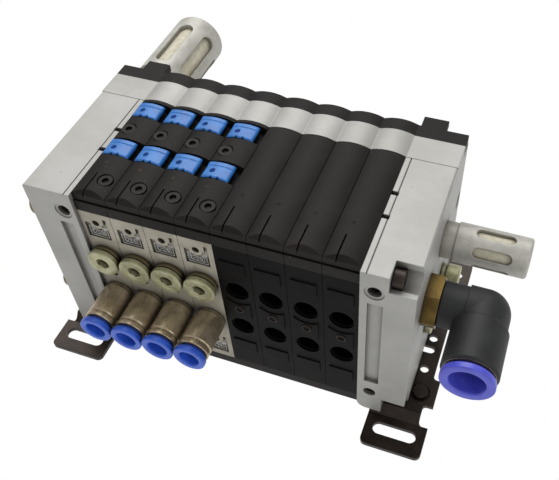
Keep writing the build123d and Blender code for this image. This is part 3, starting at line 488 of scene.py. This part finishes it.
def ring_shape(origin, end, sleeve, bore, flange_reach, flange, inner):
    """Release ring profile, a closed loop: sleeve outside, flange with rolled rims, flared mouth, bore."""
    line = [(inner, bore + 0.3), (inner, sleeve), (end + 1.4, sleeve), (end + 1.4, flange_reach),
            (end + 1.4 + flange, flange_reach), (end + 1.4 + flange, bore + 0.5), (end + 0.9 + flange, bore),
            (inner, bore)]
    line = rounded_line(line, [0, 0.2, 0.2, 0.4, 0.5, 0.2, 0.5, 0])
    line = np.concatenate([line, line[:1]])
    return turned(line, origin, forward, None, plug_round)


fitting_stem = 4.3          # reaches from the fitting's axis
fitting_shank = 5.9
fitting_outside = 6.6
fitting_groove = 6.25
fitting_mouth = 5.35
fitting_tube = 4.1
fitting_bore = 3.0
fitting_end = 17.7          # from the port face to the fitting's mouth
fitting_line = rounded_line(
    [(-6.0, fitting_bore), (-6.0, fitting_stem), (0.0, fitting_stem), (0.0, fitting_shank), (1.2, fitting_shank),
     (1.7, fitting_outside), (14.6, fitting_outside), (14.9, fitting_groove), (15.4, fitting_groove),
     (15.7, fitting_outside), (fitting_end, fitting_outside), (fitting_end, fitting_mouth), (10.2, fitting_mouth),
     (10.2, fitting_tube), (2.7, fitting_tube), (2.7, fitting_bore), (-6.0, fitting_bore)],
    [0, 0.3, 0.1, 0.3, 0.2, 0.5, 0.2, 0.15, 0.15, 0.2, 0.5, 0.15, 0.1, 0.2, 0.1, 0.1, 0])
for number in range(1, 5):
    node, ring = f"straight_fitting_{number}", f"release_ring_{number}"
    piece(f"fitting_{number}", [turned(fitting_line, port(node), forward, None, plug_round)], fitting_nickel,
          "island", [node])
    piece(f"ring_{number}", [ring_shape(port(node), fitting_end, 5.2, 4.15, 6.75, 2.3, 11.7)],
          ring_blue, ring, [ring])

# ---- the elbow's release ring and collar ----------------------------------------------------------------
# The ring is the fittings' ring again for the thicker tube, moulded in a more violet blue. A nickel-plated
# collar is pressed into the barrel's mouth and shows as a thin line behind the ring.
ring_violet, shader, place = start("ring_violet")
rounded, edge = edges(place, 0.0003)
painted_shade = corners(place, 0.003)
cloud = noise(place, 200, 4)
base = cloud.above(0.3, 0.75).mix(colour(74, 78, 196), colour(92, 96, 216))
base = (edge * 0.3).mix(base, colour(138, 142, 234))
# painted shade: the AO mask darkens the colour in the mouth and corners
base = (painted_shade * 0.7).mix(base, colour(16, 16, 70))
dress(shader, base, cloud * 0.15 + 0.3, 0.0, noise(place, 2400, 2), 0.00002, normal=rounded)
barrel = (97.9, -19.4, 62.6)
piece("elbow_ring", [ring_shape(barrel, 26.6, 8.2, 6.55, 9.95, 2.5, 19.6)], ring_violet,
      "elbow_release_ring", ["elbow_release_ring"])

collar_line = rounded_line([(26.2, 8.5), (26.2, 9.6), (26.65, 9.6), (26.65, 8.5), (26.2, 8.5)],
                           [0, 0.1, 0.2, 0.15, 0])
collar = turned(collar_line, barrel, forward, None, plug_round)
piece("barrel_collar", [collar], fitting_nickel, "elbow")

# ---- override caps ------------------------------------------------------------------------------------
# Each cap is a thin blue moulding that follows the slice's arch, with a step near its rear edge, a dark
# dot let in on the left, notches in its front edge and feet below. It is pressed to shift the valve.
cap_blue, shader, place = start("cap_blue")
rounded, edge = edges(place, 0.0003)
painted_shade = corners(place, 0.003)
cloud = noise(place, 260, 4)
base = cloud.above(0.3, 0.75).mix(colour(36, 104, 180), colour(52, 126, 204))
base = (edge * 0.35).mix(base, colour(96, 160, 222))
# painted shade: the AO mask darkens the colour in the notches, the dip and under the edges
base = (painted_shade * 0.95).mix(base, colour(10, 34, 84))
dress(shader, base, cloud * 0.15 + 0.32, 0.0, noise(place, 2200, 2) + cloud, 0.00003, normal=rounded)


cap_navy, shader, place = start("cap_navy")
cloud = noise(place, 600, 3)
base = cloud.above(0.3, 0.75).mix(colour(14, 48, 110), colour(24, 64, 136))
dress(shader, base, cloud * 0.1 + 0.6, 0.0, cloud, 0.00003, specular=0.1)


cap_top = 96.45             # height of a cap over the seam between two slices
cap_crown = 1.4             # rise of the arch
cap_slab = 1.05             # thickness
ridge_length = 2.4          # the step, from the cap's rear edge
dot_left, dot_share, dot_reach = 3.4, 0.42, 1.15


def cap_shape(left, first, last, wide):
    """A crowned plate over two shares, s across and t along. The height is the arch, cap_crown * (1 - (x
    from the middle / 7)^2), plus a small step past the ridge, less a groove at the ridge, rolled edges
    and the dip for the dot. The front edge is shifted back by a cosine in s that makes the notches."""
    across = np.linspace(0, 1, 61)
    along = np.concatenate([[0.0, 0.02, 0.05], np.linspace(0.08, 0.94, 50), [0.97, 1.0]])
    depth = last - first
    s, t = np.meshgrid(across, along)
    x = left + wide * s
    notch = np.clip(np.cos((s * 4 - 0.5) * 2 * np.pi) * 6 - 1.5, 0, 1) * ((s > 0.2) & (s < 0.8))
    y = first + depth * t + 0.5 * notch * np.clip(1 - t / 0.25, 0, 1)
    crown = cap_crown * (1 - ((x - (left + wide / 2 + 0.55)) / 7.0) ** 2)
    past = t * depth - (depth - ridge_length)
    step = 0.15 * np.clip(past / 0.35, 0, 1) - 0.12 * np.clip(1 - np.abs(past) / 0.28, 0, 1)
    roll_x = 0.45 * (np.clip(1 - s * wide / 0.6, 0, 1) ** 2 + np.clip(1 - (1 - s) * wide / 0.6, 0, 1) ** 2)
    roll_y = 0.5 * (np.clip(1 - t * depth / 0.7, 0, 1) ** 2 + np.clip(1 - (1 - t) * depth / 0.6, 0, 1) ** 2)
    away = np.hypot(x - (left + dot_left), y - (first + depth * dot_share))
    dip = 0.5 * np.clip((dot_reach - away) / 0.2, 0, 1)
    upper = np.stack([x, y, cap_top + crown + step - roll_x - roll_y - dip], -1)
    lower = np.stack([x, y, cap_top + crown - cap_slab], -1)
    rows, columns = s.shape
    grid = np.arange(rows * columns).reshape(rows, columns)
    faces = np.stack([grid[:-1, :-1], grid[:-1, 1:], grid[1:, 1:], grid[1:, :-1]], -1).reshape(-1, 4)
    under = (faces + grid.size)[:, ::-1]
    rim = np.concatenate([grid[0, :], grid[1:, -1], grid[-1, -2::-1], grid[-2:0:-1, 0]])
    ahead = np.roll(rim, -1)
    wall = np.stack([rim, rim + grid.size, ahead + grid.size, ahead], -1)
    return np.concatenate([upper.reshape(-1, 3), lower.reshape(-1, 3)]), np.concatenate([faces, under, wall])


def block(low, high):
    """A small block with cut corners: eight-sided section from below to above, closed by flat ends."""
    soft = 0.2
    (x0, y0, z0), (x1, y1, z1) = low, high
    ring = np.array([(x0 + soft, y0), (x1 - soft, y0), (x1, y0 + soft), (x1, y1 - soft), (x1 - soft, y1),
                     (x0 + soft, y1), (x0, y1 - soft), (x0, y0 + soft)])
    middle = ring.mean(0)
    levels = [(z0, 0.0), (z0, 1.0), (z1 - soft, 1.0), (z1, 0.8), (z1, 0.0)]
    points = np.concatenate([np.column_stack([middle + (ring - middle) * k, np.full(8, z)]) for z, k in levels])
    first = np.arange(4)[:, None] * 8 + np.arange(8)[None]
    turn = np.arange(4)[:, None] * 8 + np.roll(np.arange(8), -1)[None]
    return points, np.stack([first, turn, turn + 8, first + 8], -1).reshape(-1, 4)


upward = (0, 0, 1)
feet = ((0.04, 95.7), (0.31, 96.5), (0.55, 96.5), (0.8, 95.8))     # share of the width, height of the top
foot_low, foot_wide = 94.66, 1.6
stem_low, stem_length, stem_reach = 90.65, 5.2, 2.0
stem_line = np.array([(0, 0), (0, stem_reach), (stem_length, stem_reach), (stem_length, 0)])
dot_low = 96.7
dot_line = np.array([(0, 0), (0, 1.02), (0.65, 1.02), (0.66, 0)])
for number in range(1, 5):
    for row in ("front", "rear"):
        node = f"{row}_cap_{number}"
        low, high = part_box(node)
        left, first, last = low.x * 1000, low.y * 1000, high.y * 1000
        wide = (high.x - low.x) * 1000
        shapes = [cap_shape(left, first, last, wide)]
        for share, height in feet:
            at = left + wide * share
            shapes.append(block((at, first + 0.35, foot_low), (at + foot_wide, last - 0.2, height)))
        shapes.append(turned(stem_line, (left + wide / 2, (first + last) / 2, stem_low), upward, None, 24))
        piece(f"{row}_button_{number}", shapes, cap_blue, node, [node])
        dot_place = (left + dot_left, first + (last - first) * dot_share, dot_low)
        piece(f"{row}_dot_{number}", [turned(dot_line, dot_place, upward, None, 32)], cap_navy, node)

# ---- label reliefs on the valve slices -------------------------------------------------------------
# Die-cast inserts pressed into the sunk label squares: a frame with a plain two-box flow symbol, worn
# bright on the raised lines, with painted shade on the floor in between.
relief_metal, shader, place = start("relief_metal")
rounded, edge = edges(place, 0.0002)
painted_shade = corners(place, 0.0012)
cloud = noise(place, 400, 4, 0.6)
base = cloud.above(0.3, 0.7).mix(colour(140, 138, 132), colour(182, 181, 176))
base = (edge * 0.5).mix(base, colour(222, 221, 216))
# painted shade: the AO mask darkens the colour on the floor between the raised lines
base = (painted_shade * 0.95).mix(base, colour(30, 26, 21))
dress(shader, base, cloud * 0.2 + 0.3, 0.7, cloud, 0.00004, normal=rounded)


def stroke(x, z, x0, z0, x1, z1, half):
    """1 inside a straight line of a half width, 0 outside: the distance to the nearest point of the line."""
    way = np.array([x1 - x0, z1 - z0])
    t = np.clip(((x - x0) * way[0] + (z - z0) * way[1]) / (way @ way), 0, 1)
    return np.clip((half - np.hypot(x - x0 - t * way[0], z - z0 - t * way[1])) / 0.08 + 0.5, 0, 1)


slice_pitch = 14.0
row_start = -56.0           # x of the row's left limit
pocket_floor = -37.62       # y
relief_wide, relief_high, relief_proud = 8.4, 5.6, 0.5
frame_line = (0.3, 0.3, 8.1, 0.3)
symbol_lines = ((0.3, 0.3, 0.3, 5.3), (8.1, 0.3, 8.1, 4.2), (1.6, 1.4, 6.9, 1.4), (1.6, 3.9, 5.6, 3.9),
                (1.6, 1.4, 1.6, 3.9), (4.2, 1.4, 4.2, 3.9), (6.9, 1.4, 6.9, 3.4), (2.3, 1.9, 3.5, 3.4),
                (4.9, 3.4, 6.1, 1.9))


def relief(left, low):
    """Height field over a square: the pocket's floor plus relief_proud wherever a line of the frame or the
    symbol runs, with the outermost row sunk into the floor."""
    x, z = np.meshgrid(np.linspace(0, relief_wide, 85), np.linspace(0, relief_high, 57))
    up = stroke(x, z, *frame_line, 0.25)
    for line in symbol_lines:
        up = np.maximum(up, stroke(x, z, *line, 0.22))
    inside = (x > 0) & (x < relief_wide) & (z > 0) & (z < relief_high)
    y = pocket_floor - relief_proud * up * inside + 0.2 * (1 - inside)
    points = np.stack([left + 2.5 + x, y, low + z], -1).reshape(-1, 3)
    rows, columns = x.shape
    grid = np.arange(rows * columns).reshape(rows, columns)
    faces = np.stack([grid[:-1, :-1], grid[:-1, 1:], grid[1:, 1:], grid[1:, :-1]], -1).reshape(-1, 4)
    return points, faces


for number in range(1, 5):
    left = row_start + slice_pitch * (number - 1)
    piece(f"relief_{number}", [relief(left, 73.7), relief(left, 15.2)], relief_metal, "island")

# ---- small trim -------------------------------------------------------------------------------------
# Black grub screws sit deep in the plates' front holes, a vent button stands on each valve cover, a
# flush pin stops the spare hole of each blank cover, and a screw holds each blank slice's middle pad.
trim_black, shader, place = start("trim_black")
rounded, edge = edges(place, 0.0002)
painted_shade = corners(place, 0.003)
cloud = noise(place, 300, 4)
base = cloud.above(0.3, 0.7).mix(colour(30, 24, 20), colour(50, 41, 34))
# painted shade: the AO mask darkens the colour in the sockets, slits and corners
base = (painted_shade * 0.95).mix(base, colour(2, 2, 2))
dress(shader, base, cloud * 0.2 + 0.4, 0.0, cloud, 0.00003, specular=0.15, normal=rounded)
grub_line = rounded_line([(-2.95, 0.0), (-2.95, 2.55), (-1.5, 2.55), (-1.5, 1.5), (-2.6, 1.3), (-2.6, 0.0)],
                         [0, 0.1, 0.4, 0.1, 0.1, 0])
grub_key = (grub_line[:, 1] < 1.6) & (grub_line[:, 1] > 0) & (grub_line[:, 0] > -2.7)
plate_front = -40.0
grubs = [turned(grub_line, (x, plate_front, z), forward, grub_key, 48)
         for x in (-61.2, 61.2) for z in (86.1, 19.8)]
piece("grub_screws", grubs, trim_black, "island")

cover_edge = 96.0           # height of a cover at its seam
cover_crown = 1.4
dimple_left, dimple_y = 5.7, -20.9


def pin(index, reach, rise):
    """A stopper in a cover's dimple: a short round pin whose rolled top stands a little above the arch,
    whose height over the seam is cover_crown * (1 - (distance from the slice's middle / half pitch)^2)."""
    half = slice_pitch / 2
    top = cover_crown * (1 - ((dimple_left - half) / half) ** 2) + rise
    line = rounded_line([(0.0, 0.0), (0.0, reach), (top, reach), (top + 0.02, 0.0)], [0, 0.1, 0.25, 0])
    origin = (row_start + slice_pitch * index + dimple_left, dimple_y, cover_edge)
    return turned(line, origin, upward, None, 32)


piece("cover_pins", [pin(index, 0.59, 0.0) for index in range(4, 8)], black_plastic, "island")
piece("vent_buttons", [pin(index, 1.1, 0.12) for index in range(4)], trim_black, "island")
pad_face, pad_height = -38.95, 51.6
screw_line = rounded_line([(-0.6, 0.0), (-0.6, 2.05), (0.35, 2.05), (0.35, 1.35), (-0.25, 1.25), (-0.25, 0.7),
                           (-0.5, 0.6), (-0.5, 0.0)], [0, 0.1, 0.3, 0.2, 0.1, 0.1, 0.1, 0])
screws = [turned(screw_line, (row_start + slice_pitch * (index + 0.5), pad_face, pad_height), forward, None, 40)
          for index in range(4, 8)]
piece("blank_screws", screws, trim_black, "island")

# ---- camera: looks down on the front left to right, as one holds the island on a bench ----------
# A normal lens of about 48 mm, a third of a metre away, right of the middle and above it.
eye = (0.0988, -0.1861, 0.28752)
right_way = (0.94203, 0.33454, -0.02573)
down_way = (0.23542, -0.71365, -0.65976)
ahead_way = (-0.23908, 0.61545, -0.75104)
camera_data = bpy.data.cameras.new("camera")
camera_data.sensor_width = 36.0
camera_data.lens = 739.59 / 559 * 36.0
camera_data.shift_x = -0.0707
camera_data.shift_y = -0.0087
camera_data.clip_start = 0.01
camera = bpy.data.objects.new("camera", camera_data)
camera.matrix_world = Matrix((
    (right_way[0], -down_way[0], -ahead_way[0], eye[0]),
    (right_way[1], -down_way[1], -ahead_way[1], eye[1]),
    (right_way[2], -down_way[2], -ahead_way[2], eye[2]),
    (0, 0, 0, 1)))
bpy.context.scene.collection.objects.link(camera)
bpy.context.scene.camera = camera

# ---- floor and light: a white sheet under soft daylight --------------------------------------------
# A matt sheet that reads as plain white where it is seen and bounces a little light back up. A big
# window stands behind on the left and a weak lamp for the room in front on the right.
floor_mesh = bpy.data.meshes.new("floor")
floor_mesh.from_pydata([(-3, -3, 0), (3, -3, 0), (3, 3, 0), (-3, 3, 0)], [], [(0, 1, 2, 3)])
floor = bpy.data.objects.new("floor", floor_mesh)
bpy.context.scene.collection.objects.link(floor)
sheet_white, shader, place = start("sheet_white")
tree = sheet_white.node_tree
shader.inputs["Base Color"].default_value = (0.8, 0.8, 0.8, 1)
shader.inputs["Roughness"].default_value = 0.9
seen = tree.nodes.new("ShaderNodeLightPath")
glow = tree.nodes.new("ShaderNodeEmission")
blend = tree.nodes.new("ShaderNodeMixShader")
mirrored = Socket(tree, seen.outputs["Is Glossy Ray"])
either = Socket(tree, seen.outputs["Is Camera Ray"]).maths("MAXIMUM", mirrored)
tree.links.new(either.socket, blend.inputs[0])
tree.links.new(shader.outputs[0], blend.inputs[1])
tree.links.new(glow.outputs[0], blend.inputs[2])
tree.links.new(blend.outputs[0], tree.nodes["Material Output"].inputs["Surface"])
floor_mesh.materials.append(sheet_white)
floor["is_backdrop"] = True

world = bpy.data.worlds.new("world")
bpy.context.scene.world = world
world.use_nodes = True
sky = world.node_tree.nodes["Background"]
sky.inputs["Color"].default_value = (1, 1, 1, 1)
seen = world.node_tree.nodes.new("ShaderNodeLightPath")
strength = Socket(world.node_tree, seen.outputs["Is Camera Ray"]) * 0.5 + 0.5
world.node_tree.links.new(strength.socket, sky.inputs["Strength"])


def lamp(name, place, target, size, watts):
    """A square soft lamp at a place, turned to a target."""
    data = bpy.data.lights.new(name, "AREA")
    data.shape = "SQUARE"
    data.size = size
    data.energy = watts
    made = bpy.data.objects.new(name, data)
    made.location = place
    way = np.array(target, float) - np.array(place, float)
    made.rotation_euler = Vector(way).to_track_quat("-Z", "Y").to_euler()
    bpy.context.scene.collection.objects.link(made)


lamp("window", (-0.4, 0.8, 1.4), (0, 0, 0.05), 1.1, 17)
lamp("room", (0.9, -0.9, 0.8), (0, 0, 0.05), 1.0, 4)

bpy.context.scene.view_settings.view_transform = "Standard"
low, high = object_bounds()
